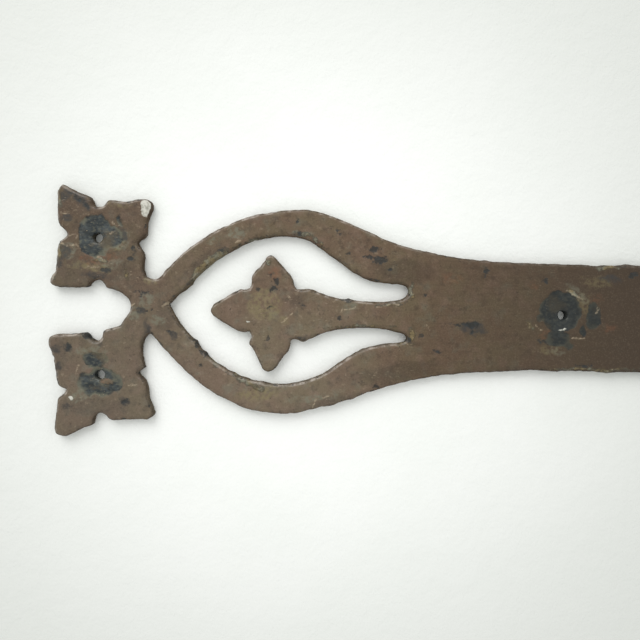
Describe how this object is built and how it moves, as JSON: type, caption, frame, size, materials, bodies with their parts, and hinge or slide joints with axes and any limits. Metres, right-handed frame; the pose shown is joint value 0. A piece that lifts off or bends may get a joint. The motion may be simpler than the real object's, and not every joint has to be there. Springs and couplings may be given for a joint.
{
  "type": "strap hinge",
  "caption": "Ornamental iron strap hinge: star-shaped finials, an open loop round a lobed leaf, and a rolled barrel whose loose pin joins a short jamb leaf.",
  "frame": {"origin": "middle of the hinge's footprint, on the plane of the leaves' backs", "axes": "+X from the finials towards the jamb leaf, +Y along the pin towards its head, +Z out of the leaves' fronts"},
  "size_m": [0.5678, 0.152, 0.0262],
  "materials": {
    "strap_paint": "old brown paint, worn and chipped to dark iron",
    "jamb_paint": "old brown paint, worn and chipped to dark iron",
    "pin_steel": "brown paint worn through to dark steel",
    "washer_steel": "dull grey steel",
    "split_pin_steel": "dull drawn wire"
  },
  "bodies": {
    "strap_leaf": {"strap_leaf": "strap_paint"},
    "jamb_leaf": {"jamb_leaf": "jamb_paint"},
    "pin": {"hinge_pin": "pin_steel", "head_washer": "washer_steel", "thrust_washer_upper": "washer_steel", "thrust_washer_lower": "washer_steel", "end_washer": "washer_steel", "split_pin": "split_pin_steel"}
  },
  "joints": [
    {"name": "leaf_swing", "type": "hinge", "parent": "strap_leaf", "child": "jamb_leaf", "pos_m": [0.22389, 0.00245, 0.0131], "axis": [0, -1, 0], "range_deg": [0, 180]},
    {"name": "pin_turn", "type": "hinge", "parent": "strap_leaf", "child": "pin", "pos_m": [0.22389, 0.00245, 0.0131], "axis": [0, -1, 0], "continuous": true}
  ]
}
